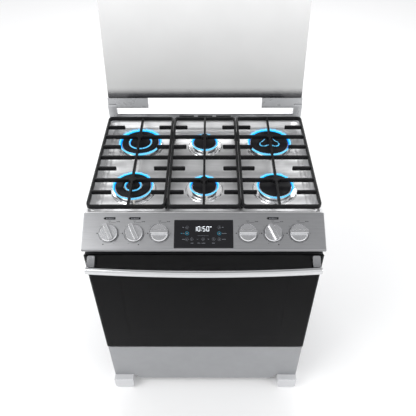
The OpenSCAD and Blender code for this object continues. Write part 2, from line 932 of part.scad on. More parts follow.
module lid_hinge_posts() {
    color(paint_c) in_place()
        both_sides()
            difference() {
                union() {
                    rod_x(post_x, lid_hinge[0], lid_hinge[1], barrel_r);
                    box([post_x[0], lid_hinge[0] - barrel_r, rim_z],
                        [post_x[1], lid_hinge[0] + barrel_r, lid_hinge[1]]);
                }
                rod_x([post_x[0] - 1, post_x[0] + 18], lid_hinge[0], lid_hinge[1], pin_r + shaft_gap);
            }
}

// ---- Rear fittings ----

module cord_gland() {
    bore = 3.8;
    y = body_d + sheet_t;
    color("#2b2b2d") in_place()
        translate([gland_at.x, 0, gland_at.y])
            difference() {
                union() {
                    rod_y(0, [body_d - 8, y + 1], 0, 9.9);
                    rod_y(0, [y, y + 4], 0, 14);
                    rod_y(0, [y, y + 14], 0, 8);
                }
                rod_y(0, [body_d - 9, y + 15], 0, bore);
            }
}

module screws() {
    y = body_d + sheet_t;
    color("#9a9c9f") in_place()
        for (x = [-half_w + 10, half_w - 10], i = [0:4])
            translate([x, y, 110 + i * 187])
                rotate([-90, 0, 0])
                    difference() {
                        rotate_extrude() polygon([[0, 0], [4.5, 0], [4.5, 0.8], [3, 2.2], [0, 2.6]]);
                        translate([-3, -0.5, 1.4]) cube([6, 1, 2]);
                        translate([-0.5, -3, 1.4]) cube([1, 6, 2]);
                    }
}

side_panel_left();
side_panel_right();
rear_panel();
base_pan();
front_frame();
lower_front_panel();
foot_front_left();
foot_front_right();
feet_rear();
cooktop();
rear_trim();
control_panel();
control_glass();
control_board();
gas_manifold();
gas_valves();
burner_tubes();
burner_heads();
igniters();
burner_cap_front_left();
burner_cap_front_centre();
burner_cap_front_right();
burner_cap_rear_left();
burner_cap_rear_centre();
burner_cap_rear_right();
grate_left();
grate_centre();
grate_right();
spindle_1();
spindle_2();
spindle_3();
spindle_4();
spindle_5();
spindle_6();
knob_1();
knob_2();
knob_3();
knob_4();
knob_5();
knob_6();
oven_liner();
oven_insulation();
oven_floor_plate();
oven_burner();
oven_lamp();
rack_rails();
oven_rack_upper();
oven_rack_lower();
door_shell();
door_outer_glass();
door_inner_glass();
door_gasket();
door_handle_bar();
door_handle_brackets();
door_hinges();
lid_glass();
lid_clamps();
lid_hinge_posts();
cord_gland();
screws();
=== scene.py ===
import json
import math
import random

import bmesh
import bpy
from mathutils import Matrix, Vector

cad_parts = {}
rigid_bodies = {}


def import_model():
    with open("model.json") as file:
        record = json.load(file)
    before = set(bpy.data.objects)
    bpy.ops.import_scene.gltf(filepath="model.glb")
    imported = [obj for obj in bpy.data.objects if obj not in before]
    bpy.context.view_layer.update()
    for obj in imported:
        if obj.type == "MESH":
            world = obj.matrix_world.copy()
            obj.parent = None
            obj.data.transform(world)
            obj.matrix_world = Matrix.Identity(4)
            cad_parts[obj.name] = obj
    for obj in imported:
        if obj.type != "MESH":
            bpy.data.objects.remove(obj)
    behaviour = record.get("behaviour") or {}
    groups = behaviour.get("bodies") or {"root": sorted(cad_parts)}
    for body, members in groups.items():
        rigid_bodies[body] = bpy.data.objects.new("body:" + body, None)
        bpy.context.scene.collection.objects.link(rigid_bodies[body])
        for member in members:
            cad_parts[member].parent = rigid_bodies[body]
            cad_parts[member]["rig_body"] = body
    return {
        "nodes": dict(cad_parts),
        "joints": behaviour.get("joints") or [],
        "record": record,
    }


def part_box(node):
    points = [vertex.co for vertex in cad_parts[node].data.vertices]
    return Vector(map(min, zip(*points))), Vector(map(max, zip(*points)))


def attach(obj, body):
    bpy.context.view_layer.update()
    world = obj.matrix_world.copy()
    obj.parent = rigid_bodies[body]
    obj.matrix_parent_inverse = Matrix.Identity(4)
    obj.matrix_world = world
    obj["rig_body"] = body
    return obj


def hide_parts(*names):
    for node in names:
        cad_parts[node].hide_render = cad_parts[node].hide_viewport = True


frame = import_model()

MM = 0.001
scene = bpy.context.scene
record = frame["record"]
slot_of = {s["node"]: s["material_slot"] for s in record["subparts"]}
joint_of = {j["name"]: j for j in frame["joints"]}
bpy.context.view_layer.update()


# ---- Materials ----

class Look:
    """A procedural material: one Principled shader, fed by noise in the object's own metres."""

    def __init__(self, name, colour, roughness, metallic=0.0, **sockets):
        self.material = bpy.data.materials.new(name)
        self.material.use_nodes = True
        self.tree = self.material.node_tree
        self.shader = self.tree.nodes["Principled BSDF"]
        self.colour = None
        self.normal = None
        self.base = (*colour, 1.0)
        self.shader.inputs["Base Color"].default_value = self.base
        self.shader.inputs["Roughness"].default_value = roughness
        self.shader.inputs["Metallic"].default_value = metallic
        for socket, value in sockets.items():
            self.shader.inputs[socket.replace("_", " ")].default_value = value
        self.place = self.node("ShaderNodeTexCoord").outputs["Object"]

    def node(self, kind, inputs=None, **settings):
        made = self.tree.nodes.new(kind)
        for key, value in settings.items():
            setattr(made, key, value)
        for key, value in (inputs or {}).items():
            if isinstance(value, bpy.types.NodeSocket):
                self.tree.links.new(value, made.inputs[key])
            else:
                made.inputs[key].default_value = value
        return made

    def link(self, value, socket):
        self.tree.links.new(value, self.shader.inputs[socket])

    def noise(self, size, stretch=(1, 1, 1), detail=3.0):
        """Cloudy noise with blotches of that size in metres, drawn out by stretch."""
        scale = [1 / (size * s) for s in stretch]
        moved = self.node("ShaderNodeMapping", {"Vector": self.place, "Scale": scale})
        inputs = {"Vector": moved.outputs[0], "Scale": 1.0, "Detail": detail}
        return self.node("ShaderNodeTexNoise", inputs).outputs["Fac"]

    def cells(self, scale):
        """Distance to the nearest of scattered points, that many of them to the metre."""
        inputs = {"Vector": self.place, "Scale": scale}
        return self.node("ShaderNodeTexVoronoi", inputs).outputs["Distance"]

    def attribute(self, name):
        return self.node("ShaderNodeAttribute", attribute_name=name).outputs["Fac"]

    def height(self):
        return self.node("ShaderNodeSeparateXYZ", {"Vector": self.place}).outputs["Z"]

    def ranged(self, value, low, high, start=0.35, end=0.65):
        inputs = {"Value": value, "From Min": start, "From Max": end, "To Min": low, "To Max": high}
        return self.node("ShaderNodeMapRange", inputs).outputs["Result"]

    def mix(self, factor, other, blend="MIX"):
        """Mixes the base colour so far with another colour."""
        now = self.base if self.colour is None else self.colour
        other = other if isinstance(other, bpy.types.NodeSocket) else (*other, 1.0)
        inputs = {0: factor, 6: now, 7: other}
        made = self.node("ShaderNodeMix", inputs, data_type="RGBA", blend_type=blend)
        self.colour = made.outputs[2]
        self.link(self.colour, "Base Color")
        return self

    def shade(self, value, low, high):
        """Multiplies the base colour by low to high, following a noise."""
        return self.mix(1.0, self.ranged(value, low, high), "MULTIPLY")

    def rough(self, value, low, high):
        self.link(self.ranged(value, low, high), "Roughness")
        return self

    def bump(self, height, depth, strength=1.0):
        inputs = {"Height": height, "Distance": depth, "Strength": strength}
        if self.normal is not None:
            inputs["Normal"] = self.normal
        self.normal = self.node("ShaderNodeBump", inputs).outputs["Normal"]
        self.link(self.normal, "Normal")
        return self

    def worn(self, colour, amount, size=6 * MM):
        """Lets another colour through along the rounded edges, in patches."""
        edge = self.attribute("edge")
        patches = self.ranged(self.noise(size), 0.0, amount, 0.42, 0.62)
        both = self.node("ShaderNodeMath", {0: edge, 1: patches}, operation="MULTIPLY")
        return self.mix(both.outputs[0], colour)


SCRATCH = 0.002 * MM


def brushed(name, colour, roughness, stretch):
    """Steel with fine scratches drawn out along one axis, and faint smears."""
    look = Look(name, colour, roughness, 1.0)
    lines = look.noise(0.5 * MM, stretch, 4.0)
    smears = look.noise(70 * MM, (1.6, 1, 1), 4.0)
    broad = look.noise(2.2 * MM, stretch, 3.0)
    look.shade(lines, 0.965, 1.025).shade(broad, 0.95, 1.03).shade(smears, 0.985, 1.015)
    look.rough(look.noise(1.1 * MM, stretch, 3.0), roughness - 0.02, roughness + 0.03)
    look.bump(lines, SCRATCH, 0.3)
    return look.material


def painted(name, colour, roughness, edge, metallic=0.0):
    """Sprayed coat: orange peel, a faint cloudy tone and slightly polished edges."""
    look = Look(name, colour, roughness, metallic)
    peel = look.noise(1.6 * MM, detail=2.0)
    look.shade(look.noise(90 * MM, detail=4.0), 0.975, 1.025)
    look.worn(edge, 0.55)
    look.rough(look.noise(35 * MM, detail=5.0), roughness - 0.05, roughness + 0.06)
    look.bump(peel, 0.02 * MM, 0.35)
    return look.material


def cast_iron(name, colour, roughness, edge):
    """Matt enamel over a sand casting: pebbled grain, tiny pits and greyer edges."""
    look = Look(name, colour, roughness, Specular_IOR_Level=0.15)
    grain = look.noise(0.9 * MM, detail=4.0)
    pits = look.cells(900.0)
    look.shade(look.noise(24 * MM, detail=5.0), 0.85, 1.2).worn(edge, 0.7, 4 * MM)
    look.rough(look.noise(9 * MM, detail=6.0), roughness - 0.08, roughness + 0.1)
    look.bump(grain, 0.12 * MM, 0.5).bump(pits, 0.04 * MM, 0.3)
    return look.material


def enamel(name, colour):
    """Vitreous enamel: glossy, with fine pale specks."""
    look = Look(name, colour, 0.22, Coat_Weight=0.4)
    look.mix(look.ranged(look.cells(260.0), 0.7, 0.0, 0.05, 0.12), (0.5, 0.52, 0.56))
    look.rough(look.noise(12 * MM, detail=4.0), 0.16, 0.3)
    look.bump(look.noise(3 * MM), 0.04 * MM, 0.4)
    return look.material


def alloy(name, colour, roughness):
    """Machined or cast aluminium with a fine open grain."""
    look = Look(name, colour, roughness, 1.0)
    grain = look.noise(0.7 * MM, detail=4.0)
    look.shade(look.noise(14 * MM, detail=5.0), 0.88, 1.06)
    look.rough(look.noise(5 * MM, detail=4.0), roughness - 0.08, roughness + 0.1)
    look.bump(grain, 0.03 * MM, 0.5)
    return look.material


def shaded_panel_steel(low):
    """Brushed panel steel, a darker copy of the stainless as painted shade, its rolled lower edge
    darker still as painted shade.
    """
    # Painted shade: the same stainless as elsewhere, set darker for the panel.
    look = Look("shaded_panel_steel", (0.48, 0.483, 0.495), 0.32, 1.0)
    grain = (30, 1, 1)
    lines = look.noise(0.5 * MM, grain, 4.0)
    look.shade(lines, 0.965, 1.025).shade(look.noise(2.2 * MM, grain, 3.0), 0.95, 1.03)
    # Painted shade: the rolled lower edge is mixed darker below a height.
    nose_painted_shade = look.ranged(look.height(), 0.5, 0.0, low + 9 * MM, low + 14 * MM)
    look.mix(nose_painted_shade, (0.16, 0.162, 0.168))
    look.rough(look.noise(1.1 * MM, grain, 3.0), 0.3, 0.35)
    look.bump(lines, SCRATCH, 0.3)
    return look.material


def knob_metal():
    """Satin-plated knob, faintly uneven, with a painted highlight along its rounded edges."""
    look = Look("knob_satin", (0.76, 0.765, 0.78), 0.24, 1.0)
    look.shade(look.noise(9 * MM, detail=4.0), 0.96, 1.03)
    # Painted highlight: the rounded edges are mixed brighter.
    look.mix(look.attribute("edge"), (0.95, 0.95, 0.955))
    look.bump(look.noise(3 * MM, detail=2.0), 0.002 * MM, 0.1)
    return look.material


def chrome(name, roughness, colour=(0.86, 0.865, 0.875)):
    look = Look(name, colour, roughness, 1.0)
    look.shade(look.noise(20 * MM, detail=4.0), 0.96, 1.02)
    look.rough(look.noise(7 * MM, detail=5.0), roughness, roughness + 0.08)
    look.bump(look.noise(4 * MM), 0.01 * MM, 0.3)
    return look.material


def dark_glass(name, colour, alpha, specular):
    """Tinted heat glass with the faintest smears."""
    look = Look(name, colour, 0.04, Specular_IOR_Level=specular, Alpha=alpha)
    look.shade(look.noise(60 * MM, detail=4.0), 0.9, 1.1)
    look.rough(look.noise(45 * MM, (1, 1, 2), 5.0), 0.03, 0.09)
    look.bump(look.noise(180 * MM), 0.05 * MM, 0.2)
    return look.material


def lid_glass(low, high):
    """Pale coated glass, lightened towards its top by a painted reflection, printed black along its
    hinge edge, the print breaking up into dots.
    """
    look = Look("lid_coated_glass", (0.55, 0.552, 0.548), 0.1, 0.2,
                Coat_Weight=0.8, Coat_Roughness=0.03)
    height = look.height()
    # Painted reflection: the glass is mixed paler towards its top edge.
    look.mix(look.ranged(height, 0.0, 1.0, low + 60 * MM, high - 60 * MM), (0.93, 0.93, 0.93))
    look.shade(look.noise(120 * MM, detail=4.0), 0.985, 1.015)
    look.rough(look.noise(60 * MM, detail=5.0), 0.08, 0.14)
    pitch = 2.6 * MM
    turned = {"Vector": look.place, "Rotation": (0, math.pi / 4, 0),
              "Scale": (1 / pitch, 0.0, 1 / pitch)}
    lattice = {"Vector": look.node("ShaderNodeMapping", turned).outputs[0],
               "Scale": 1.0, "Randomness": 0.0}
    dots = look.node("ShaderNodeTexVoronoi", lattice).outputs["Distance"]
    reach = look.ranged(height, 0.75, 0.0, low + 7 * MM, low + 46 * MM)
    dotted = look.node("ShaderNodeMath", {0: dots, 1: reach}, operation="LESS_THAN")
    look.mix(dotted.outputs[0], (0.05, 0.05, 0.055))
    solid = look.ranged(height, 1.0, 0.0, low + 6.5 * MM, low + 7.5 * MM)
    look.mix(solid, (0.012, 0.012, 0.014))
    look.bump(look.noise(200 * MM), 0.05 * MM, 0.15)
    return look.material


def glow(name, colour, strength):
    """A lit segment or icon, slightly uneven."""
    look = Look(name, colour, 0.4, Emission_Color=(*colour, 1.0), Emission_Strength=strength)
    look.shade(look.noise(2 * MM), 0.85, 1.0)
    return look.material


def ink_and_shade(name, colour):
    """Screen-printed ink; the black one also stands as flat painted shade."""
    look = Look(name, colour, 0.55, Specular_IOR_Level=0.2)
    look.shade(look.noise(3 * MM, detail=4.0), 0.8, 1.15)
    look.rough(look.noise(1.5 * MM), 0.48, 0.62)
    return look.material


def flame():
    """Gas flame: blue at the port, cyan in the middle, pale and thin at the tip."""
    look = Look("gas_flame", (0.0, 0.0, 0.0), 1.0, Specular_IOR_Level=0.0, Emission_Strength=1.6)
    along = look.attribute("along")
    ramp = look.node("ShaderNodeValToRGB", {"Fac": along})
    tones = ((0.0, (0.0, 0.05, 0.4)), (0.2, (0.0, 0.2, 0.8)), (0.42, (0.01, 0.52, 0.9)),
             (0.7, (0.2, 0.66, 0.9)), (1.0, (0.12, 0.34, 0.9)))
    elements = ramp.color_ramp.elements
    while len(elements) < len(tones):
        elements.new(0.5)
    for element, (where, colour) in zip(elements, tones):
        element.position = where
        element.color = (*colour, 1.0)
    look.link(ramp.outputs["Color"], "Emission Color")
    look.link(look.ranged(along, 0.95, 0.25, 0.5, 1.0), "Alpha")
    return look.material


def felt(name, colour):
    look = Look(name, colour, 0.95)
    fibres = look.noise(2.5 * MM, (3, 1, 1), 6.0)
    look.shade(fibres, 0.7, 1.2)
    look.bump(fibres, 0.8 * MM, 0.8)
    return look.material


def rubber(name, colour):
    look = Look(name, colour, 0.7)
    weave = look.noise(1.5 * MM, (1, 1, 2), 4.0)
    look.shade(weave, 0.75, 1.25)
    look.bump(weave, 0.15 * MM, 0.7)
    return look.material


GREY_EDGE = (0.8, 0.81, 0.82)
LOOKS = {
    "body_paint": painted("silver_paint", (0.31, 0.316, 0.328), 0.38, GREY_EDGE, 0.25),
    "frame_black": painted("black_enamel", (0.018, 0.018, 0.02), 0.42, (0.1, 0.1, 0.11)),
    "foot_plastic": painted("grey_plastic", (0.6, 0.605, 0.62), 0.5, GREY_EDGE),
    "stainless": brushed("stainless", (0.64, 0.645, 0.66), 0.3, (40, 1, 1)),
    "panel_glass": dark_glass("touch_glass", (0.008, 0.008, 0.01), 1.0, 0.5),
    "board": painted("circuit_board", (0.08, 0.22, 0.13), 0.5, (0.3, 0.4, 0.3)),
    "pipe_steel": painted("zinc_pipe", (0.42, 0.43, 0.44), 0.4, GREY_EDGE, 0.9),
    "valve_brass": alloy("brass", (0.72, 0.54, 0.24), 0.32),
    "tube_alloy": alloy("drawn_alloy", (0.76, 0.76, 0.77), 0.3),
    "burner_alloy": alloy("cast_alloy", (0.72, 0.725, 0.735), 0.3),
    "ceramic": painted("white_ceramic", (0.85, 0.83, 0.78), 0.25, (0.95, 0.94, 0.9)),
    "cap_enamel": cast_iron("cap_enamel", (0.012, 0.012, 0.014), 0.42, (0.035, 0.035, 0.037)),
    "grate_iron": cast_iron("grate_iron", (0.007, 0.007, 0.008), 0.4, (0.02, 0.02, 0.021)),
    "spindle_steel": brushed("spindle_steel", (0.6, 0.6, 0.62), 0.3, (1, 1, 1)),
    "knob_metal": knob_metal(),
    "oven_enamel": enamel("oven_enamel", (0.045, 0.05, 0.06)),
    "wool": felt("mineral_wool", (0.62, 0.57, 0.4)),
    "lamp_glass": painted("lamp_glass", (0.9, 0.86, 0.74), 0.15, (1.0, 1.0, 1.0)),
    "rack_chrome": chrome("rack_chrome", 0.12),
    "door_glass": dark_glass("door_glass", (0.003, 0.003, 0.0035), 0.8, 0.08),
    "window_glass": dark_glass("window_glass", (0.03, 0.03, 0.032), 0.25, 0.4),
    "gasket": rubber("gasket_weave", (0.1, 0.1, 0.105)),
    "handle_steel": brushed("handle_steel", (0.7, 0.705, 0.715), 0.2, (40, 1, 1)),
    "bracket_chrome": chrome("bracket_chrome", 0.06, (0.6, 0.605, 0.62)),
    "hinge_steel": painted("zinc_plate", (0.52, 0.53, 0.54), 0.36, GREY_EDGE, 0.8),
    "gland_plastic": painted("black_nylon", (0.03, 0.03, 0.033), 0.5, (0.09, 0.09, 0.1)),
}
glass_low, glass_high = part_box("lid_glass")
LOOKS["lid_glass"] = lid_glass(glass_low.z, glass_high.z)
COOKTOP_STEEL = brushed("cooktop_steel", (0.82, 0.822, 0.83), 0.44, (40, 1, 1))
SHADED_PANEL_STEEL = shaded_panel_steel(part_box("control_panel")[0].z)
HINGE_PAINT = painted("hinge_paint", (0.46, 0.467, 0.48), 0.3, GREY_EDGE, 0.3)
RING_STEEL = brushed("ring_steel", (0.8, 0.805, 0.815), 0.16, (1, 1, 1))
FLAME = flame()
# Black print, and also painted shade in the rear trim's slots and round the knobs.
BLACK_INK_AND_SHADE = ink_and_shade("black_ink_and_shade", (0.01, 0.01, 0.012))
GREY_INK = ink_and_shade("grey_ink", (0.045, 0.045, 0.05))
PALE_INK = ink_and_shade("pale_ink", (0.3, 0.31, 0.33))


# ---- Building pieces ----

def finish_mesh(name, bm, look, body, nodes=(), sharp=38.0):
    """Makes a piece of a bmesh built in the row frame, and hides the CAD nodes it stands for."""
    mesh = bpy.data.meshes.new(name)
    bmesh.ops.recalc_face_normals(bm, faces=bm.faces)
    bm.to_mesh(mesh)
    bm.free()
    mesh.materials.append(look)
    mesh.shade_smooth()
    mesh.set_sharp_from_angle(angle=math.radians(sharp))
    piece = bpy.data.objects.new(name, mesh)
    scene.collection.objects.link(piece)
    weighted = piece.modifiers.new("weighted", "WEIGHTED_NORMAL")
    weighted.keep_sharp = True
    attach(piece, body)
    if nodes:
        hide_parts(*nodes)
    return piece


def edged_mesh():
    """An empty mesh whose faces can be marked as worn edges."""
    bm = bmesh.new()
    bm.faces.layers.float.new("edge")
    return bm


def welded(node):
    """A CAD node's mesh with its corners joined and its flat faces whole."""
    bm = bmesh.new()
    bm.from_mesh(frame["nodes"][node].data)
    bmesh.ops.remove_doubles(bm, verts=bm.verts, dist=0.02 * MM)
    flat = math.radians(0.4)
    bmesh.ops.dissolve_limit(bm, angle_limit=flat, verts=bm.verts, edges=bm.edges)
    bmesh.ops.recalc_face_normals(bm, faces=bm.faces)
    bm.faces.layers.float.new("edge")
    return bm


def creases(bm, where=None):
    """The edges where two faces meet at more than 30 degrees."""
    limit = math.radians(30.0)
    found = [e for e in bm.edges if e.is_manifold and e.calc_face_angle(0.0) > limit]
    return [e for e in found if where is None or where(e)]


def round_over(bm, edges, width, steps, clamp=True):
    """Rounds those edges, and marks the new faces as edges for the wear of the material."""
    if not edges:
        return
    made = bmesh.ops.bevel(bm, geom=edges, offset=width, segments=steps, profile=0.5,
                           affect="EDGES", clamp_overlap=clamp)
    layer = bm.faces.layers.float["edge"]
    for face in made["faces"]:
        face[layer] = 1.0


def refine(node, width, steps=2, first=(), look=None):
    """A CAD node with its edges rounded. Each of first is (where, width, steps), done before."""
    bm = welded(node)
    for where, wide, count in first:
        round_over(bm, creases(bm, where), wide, count, clamp=False)
        bm.normal_update()
    round_over(bm, creases(bm), width, steps)
    slot = slot_of[node]
    carrier = frame["nodes"][node]["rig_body"]
    finish_mesh(node + "_finished", bm, look or LOOKS[slot], carrier, [node])


def lathe(bm, profile, centre, turns=96, closed=True, shape=None):
    """Turns (radius, height) points about a vertical axis.

    shape(i, angle, radius) may change the radius of point i.
    """
    rings = []
    for i, (radius, height) in enumerate(profile):
        if radius < 0.01 * MM:
            rings.append([bm.verts.new(centre + Vector((0, 0, height)))])
            continue
        ring = []
        for k in range(turns):
            angle = 2 * math.pi * k / turns
            r = shape(i, angle, radius) if shape else radius
            point = Vector((r * math.cos(angle), r * math.sin(angle), height))
            ring.append(bm.verts.new(centre + point))
        rings.append(ring)
    pairs = list(zip(rings, rings[1:]))
    if closed:
        pairs.append((rings[-1], rings[0]))
    for a, b in pairs:
        if len(a) == 1 and len(b) == 1:
            continue
        for k in range(turns):
            n = (k + 1) % turns
            corners = [a[k % len(a)], a[n % len(a)], b[n % len(b)], b[k % len(b)]]
            bm.faces.new(list(dict.fromkeys(corners)))


def arc_points(centre, radius, start, end, steps):
    """(across, up) points on an arc from one angle to another, in degrees."""
    angles = [math.radians(start + (end - start) * i / steps) for i in range(steps + 1)]
    return [(centre[0] + radius * math.cos(a), centre[1] + radius * math.sin(a)) for a in angles]


def skin(bm, rings, ends=True):
    """Joins each ring of corners to the next, closes the ends, and returns the rows of faces."""
    if ends:
        bm.faces.new(rings[0][::-1])
        bm.faces.new(rings[-1])
    return [[bm.faces.new(corners) for corners in zip(a, a[1:] + a[:1], b[1:] + b[:1], b)]
            for a, b in zip(rings, rings[1:])]


def slab(bm, outline, low, high, place):
    """A flat plate with that outline, from low to high along the normal of its place."""
    skin(bm, [[bm.verts.new(place @ Vector((x, y, h))) for x, y in outline]
              for h in (low, high)])


def round_box(x, y, wide, high, radius, steps=5):
    """The outline of a rectangle with round corners about (x, y)."""
    points = []
    corners = ((1, 1, 0), (-1, 1, 90), (-1, -1, 180), (1, -1, 270))
    for sx, sy, start in corners:
        middle = (x + sx * (wide / 2 - radius), y + sy * (high / 2 - radius))
        points += arc_points(middle, radius, start, start + 90, steps)
    return points


def ring_slab(bm, centre, inner, outer, start, end, low, high, place, steps=48):
    """A flat ring or arc. A whole ring is two halves that meet."""
    spans = [(start, end)] if end - start < 360 else [(start, start + 180), (start + 180, end)]
    for a, b in spans:
        outside = arc_points(centre, outer, a, b, steps // len(spans))
        inside = arc_points(centre, inner, b, a, steps // len(spans))
        slab(bm, outside + inside, low, high, place)


# ---- Cooktop ----

def smooth_step(t):
    t = min(max(t, 0.0), 1.0)
    return t * t * t * (t * (6 * t - 15) + 10)


def grid_lines(*spans):
    """Places of the lines of a grid. Each span is (start, end, spacing)."""
    lines = []
    for start, end, spacing in spans:
        count = max(1, round((end - start) / spacing))
        lines += [start + (end - start) * i / count for i in range(count)]
    return lines + [spans[-1][1]]


def cap_facts():
    """{burner: (centre, cap radius)} from the caps of the CAD model."""
    facts = {}
    for row in ("front", "rear"):
        for side in ("left", "centre", "right"):
            low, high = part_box(f"burner_cap_{row}_{side}")
            facts[f"{row}_{side}"] = ((low + high) / 2, (high.x - low.x) / 2)
    return facts


BURNERS = cap_facts()
# Inner radius of a ring cap, and radius of the centre cap inside it
RINGS = {
    "front_left": (33 * MM, 22.5 * MM),
    "rear_left": (46 * MM, 36.5 * MM),
    "rear_right": (48 * MM, 30 * MM),
}
deck_low, deck_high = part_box("cooktop")
RIM = deck_high.z
PAN_DEPTH = 28 * MM
FLOOR = RIM - PAN_DEPTH
# Underside of the caps above the pan's floor
CAP_SEAT = FLOOR + 16.3 * MM
# Hole in the sheet under each burner
BURNER_HOLE = 24 * MM
# Middle of the long bead on each side of the pan, from the centre line
BEAD_X = 236 * MM


def deck_height(x, y):
    """Height of the pressed cooktop sheet: floor, walls, beads and the steps at the rear."""
    front, rear = deck_low.y + 16 * MM, deck_high.y - 60 * MM
    side, corner = 360 * MM, 22 * MM
    middle = (front + rear) / 2
    # Distance outside the floor's outline, which has round corners
    past_x = abs(x) - (side - corner)
    past_y = abs(y - middle) - ((rear - front) / 2 - corner)
    outside = math.hypot(max(past_x, 0), max(past_y, 0)) + min(max(past_x, past_y), 0) - corner
    # Width of the wall: a long slope at the rear, steeper at the sides and the front
    wall_x, wall_y = 11 * MM, (34 if y > middle else 10) * MM
    share = max(past_y, 0.0) / (max(past_x, 0.0) + max(past_y, 0.0) + 0.1 * MM)
    rise = smooth_step(outside / (wall_x + (wall_y - wall_x) * share))
    margin = smooth_step((abs(x) - 338 * MM) / (9 * MM)) * 1.6 * MM
    step = smooth_step((y - (rear - 25 * MM)) / (8 * MM)) * 2.4 * MM
    bead_start, bead_end, bead_ramp = deck_low.y + 206 * MM, deck_low.y + 326 * MM, 14 * MM
    ends = smooth_step((y - bead_start) / bead_ramp) * smooth_step((bead_end - y) / bead_ramp)
    bead = smooth_step(1 - abs(abs(x) - BEAD_X) / (8 * MM)) * 1.8 * MM * ends
    return FLOOR + PAN_DEPTH * rise + (1 - rise) * max(margin, step, bead)


def cooktop():
    edge_r = 3 * MM
    half = deck_high.x
    bead_in, bead_out, margin = 226 * MM, 246 * MM, 334 * MM
    side_lines = grid_lines((0, bead_in, 16 * MM), (bead_in, bead_out, 1.6 * MM),
                            (bead_out, margin, 12 * MM), (margin, half - edge_r, 1.4 * MM))
    xs = [-v for v in reversed(side_lines[1:])] + side_lines
    front, rear = deck_low.y + 24 * MM, deck_high.y - 92 * MM
    ys = grid_lines((deck_low.y + edge_r, front, 1.4 * MM), (front, rear, 9 * MM),
                    (rear, deck_high.y - edge_r, 1.6 * MM))
    turn = [math.radians(a) for a in (30, 60, 90)]
    drop = [(edge_r * math.sin(a), edge_r * (1 - math.cos(a))) for a in turn]
    drop.append((edge_r, RIM - deck_low.z - 15.5 * MM))

    def widened(lines):
        before = [(lines[0] - out, down) for out, down in reversed(drop)]
        after = [(lines[-1] + out, down) for out, down in drop]
        return before + [(v, 0.0) for v in lines] + after

    bm = edged_mesh()
    grid = [[bm.verts.new((x, y, deck_height(x, y) - max(dx, dy))) for x, dx in widened(xs)]
            for y, dy in widened(ys)]
    centres = [facts[0] for facts in BURNERS.values()]
    for a, b in zip(grid, grid[1:]):
        for k in range(len(a) - 1):
            face = (a[k], a[k + 1], b[k + 1], b[k])
            middle = sum((v.co for v in face), Vector()) / 4
            if all((middle.xy - c.xy).length > BURNER_HOLE for c in centres):
                bm.faces.new(face)
    bmesh.ops.delete(bm, geom=[v for v in bm.verts if not v.link_faces], context="VERTS")
    piece = finish_mesh("cooktop_sheet", bm, COOKTOP_STEEL, "root", ["cooktop"], 60)
    thick = piece.modifiers.new("sheet", "SOLIDIFY")
    thick.thickness = 1.0 * MM
    thick.offset = -1.0


def drip_rings():
    """Pressed bead round each burner, with a shallow collar inside it."""
    bm = bmesh.new()
    for name, (centre, radius) in BURNERS.items():
        seat = Vector((centre.x, centre.y, FLOOR))
        ring = radius + (14 if name in RINGS else 20) * MM
        bead = ((4, 0.15), (3, 0.9), (1.8, 2.1), (0.6, 2.6), (-0.6, 2.4), (-1.8, 1.5), (-3, 0.8))
        profile = [(ring + out * MM, up * MM) for out, up in bead]
        profile += [(radius - 6 * MM, 0.5 * MM), (radius - 6 * MM, -0.6 * MM),
                    (ring + 4 * MM, -0.6 * MM)]
        lathe(bm, profile, seat)
    finish_mesh("drip_rings", bm, RING_STEEL, "root", (), 70)


# ---- Burners ----

def crown(bm, centre, inner, outer, ports, inside=False):
    """Burner crown with its gas ports as slots round the outer or the inner wall."""
    low, top = 0.4 * MM, 15.9 * MM
    # The lip below the ports, their floor, and the top of the wall
    lip, port_floor, wall_top = 9.3 * MM, 9.7 * MM, 15.2 * MM
    profile = [(outer - 6 * MM, low), (outer - 5 * MM, 4.2 * MM), (outer - 0.8 * MM, 4.7 * MM),
               (outer, 5.8 * MM), (outer, lip), (outer, port_floor), (outer, wall_top),
               (outer - 0.8 * MM, top), (outer - 5 * MM, top)]
    if inside:
        profile += [(inner + 0.8 * MM, top), (inner, wall_top), (inner, port_floor),
                    (inner, lip), (inner, low)]
        slotted, depth = (9, 10, 11), 2.4 * MM
    else:
        profile += [(inner, top), (inner, low)]
        slotted, depth = (5, 6, 7), -2.4 * MM

    def notch(i, angle, radius):
        phase = (angle * ports / (2 * math.pi)) % 1.0
        return radius + depth if i in slotted and 0.3 < phase < 0.7 else radius

    lathe(bm, profile, centre, ports * 6, True, notch)


def burner_heads():
    bm = edged_mesh()
    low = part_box("burner_heads")[0].z - FLOOR
    cup = [(0, low), (17 * MM, low), (20 * MM, low + 3 * MM), (20 * MM, 1 * MM), (0, 1 * MM)]

    def ports(radius):
        return round(2 * math.pi * radius / (7.0 * MM))

    for name, (centre, radius) in BURNERS.items():
        seat = Vector((centre.x, centre.y, FLOOR))
        outer = radius + 2 * MM
        if name in RINGS:
            hole, middle = RINGS[name]
            crown(bm, seat, radius - 12 * MM, outer, ports(outer))
            crown(bm, seat, hole - 2 * MM, hole + 8 * MM, ports(hole), True)
            crown(bm, seat, 0.0, middle + 1.5 * MM, ports(middle))
            base = radius - 5 * MM
            plate = [(0, 0.5 * MM), (base, 0.5 * MM), (base, 4 * MM), (0, 4 * MM)]
            lathe(bm, plate, seat, closed=False)
        else:
            crown(bm, seat, 0.0, outer, ports(outer))
        lathe(bm, cup, seat, 48, False)
    finish_mesh("burner_crowns", bm, LOOKS["burner_alloy"], "root",
                ["burner_heads"], 35)


